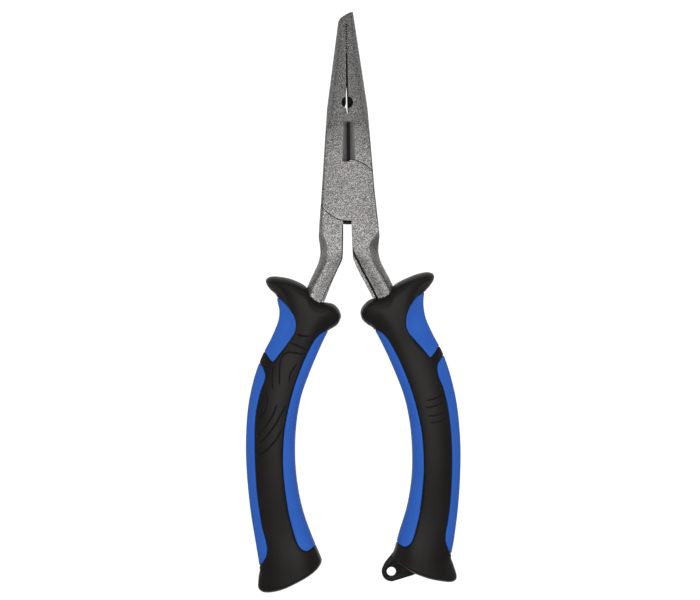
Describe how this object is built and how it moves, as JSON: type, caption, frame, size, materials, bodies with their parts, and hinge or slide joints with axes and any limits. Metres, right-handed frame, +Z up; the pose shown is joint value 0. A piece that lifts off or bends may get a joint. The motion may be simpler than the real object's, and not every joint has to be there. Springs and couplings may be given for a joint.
{
  "type": "fishing pliers",
  "caption": "Long-nose fishing pliers with serrated split-ring jaws, a line cutter window, a lap joint and curved padded grips, one with a lanyard tab.",
  "frame": {"origin": "centre of the footprint, on the plane the closed pliers lie on", "axes": "+Y from the grips to the nose, +X to the right seen from above, +Z up, along the pivot's axis towards the front face"},
  "size_m": [0.075, 0.2029, 0.0154],
  "materials": {
    "coated_steel": "fine speckled grey anti-corrosion coat",
    "bright_steel": "ground flush, same coat",
    "hard_nylon": "moulded, fine matte",
    "black_rubber": "soft satin thermoplastic rubber",
    "blue_rubber": "matte thermoplastic rubber"
  },
  "bodies": {
    "front": {"front_lever": "coated_steel", "pivot_rivet": "bright_steel", "right_grip_core": "hard_nylon", "right_grip_body": "black_rubber", "right_palm_pad": "blue_rubber", "right_finger_pad": "blue_rubber", "right_inner_pad": "blue_rubber"},
    "back": {"back_lever": "coated_steel", "left_grip_core": "hard_nylon", "left_grip_body": "black_rubber", "left_palm_pad": "blue_rubber", "left_finger_pad": "blue_rubber", "left_inner_pad": "blue_rubber"}
  },
  "joints": [
    {"name": "jaw_pivot", "type": "hinge", "parent": "front", "child": "back", "pos_m": [0, 0.03895, 0.0077], "axis": [0, 0, -1], "range_deg": [0, 40]}
  ]
}
